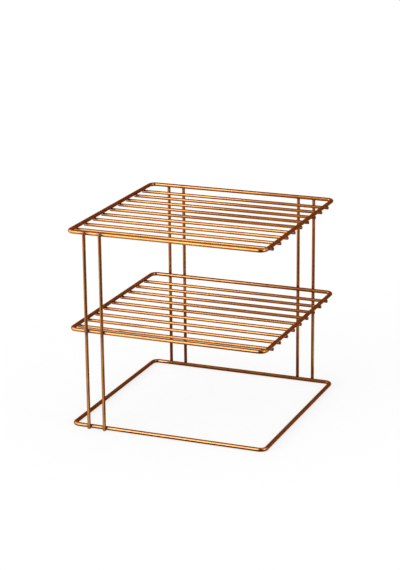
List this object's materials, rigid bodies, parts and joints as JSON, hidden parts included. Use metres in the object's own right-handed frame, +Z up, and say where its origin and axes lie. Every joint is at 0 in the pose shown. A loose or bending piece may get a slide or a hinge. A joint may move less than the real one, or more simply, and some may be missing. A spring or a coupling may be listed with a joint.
{
  "type": "cabinet shelf organizer",
  "caption": "Square tiered wire rack: an open base ring and slatted shelves on welded upright legs, open at one front corner, for stacking plates and bowls inside a cabinet.",
  "frame": {"origin": "on the supporting surface, under the middle of the rack", "axes": "+X to the right along the front edge, +Y to the back, +Z up"},
  "size_m": [0.2548, 0.2622, 0.2498],
  "materials": {
    "copper_plated_wire": "gloss"
  },
  "bodies": {
    "root": {"base_frame": "copper_plated_wire", "middle_frame": "copper_plated_wire", "top_frame": "copper_plated_wire", "middle_slat_1": "copper_plated_wire", "middle_slat_2": "copper_plated_wire", "middle_slat_3": "copper_plated_wire", "middle_slat_4": "copper_plated_wire", "middle_slat_5": "copper_plated_wire", "middle_slat_6": "copper_plated_wire", "middle_slat_7": "copper_plated_wire", "middle_slat_8": "copper_plated_wire", "middle_slat_9": "copper_plated_wire", "top_slat_1": "copper_plated_wire", "top_slat_2": "copper_plated_wire", "top_slat_3": "copper_plated_wire", "top_slat_4": "copper_plated_wire", "top_slat_5": "copper_plated_wire", "top_slat_6": "copper_plated_wire", "top_slat_7": "copper_plated_wire", "top_slat_8": "copper_plated_wire", "top_slat_9": "copper_plated_wire", "front_left_leg_outer": "copper_plated_wire", "front_left_leg_inner": "copper_plated_wire", "back_left_leg_outer": "copper_plated_wire", "back_left_leg_inner": "copper_plated_wire", "back_right_leg_outer": "copper_plated_wire", "back_right_leg_inner": "copper_plated_wire"}
  },
  "joints": []
}
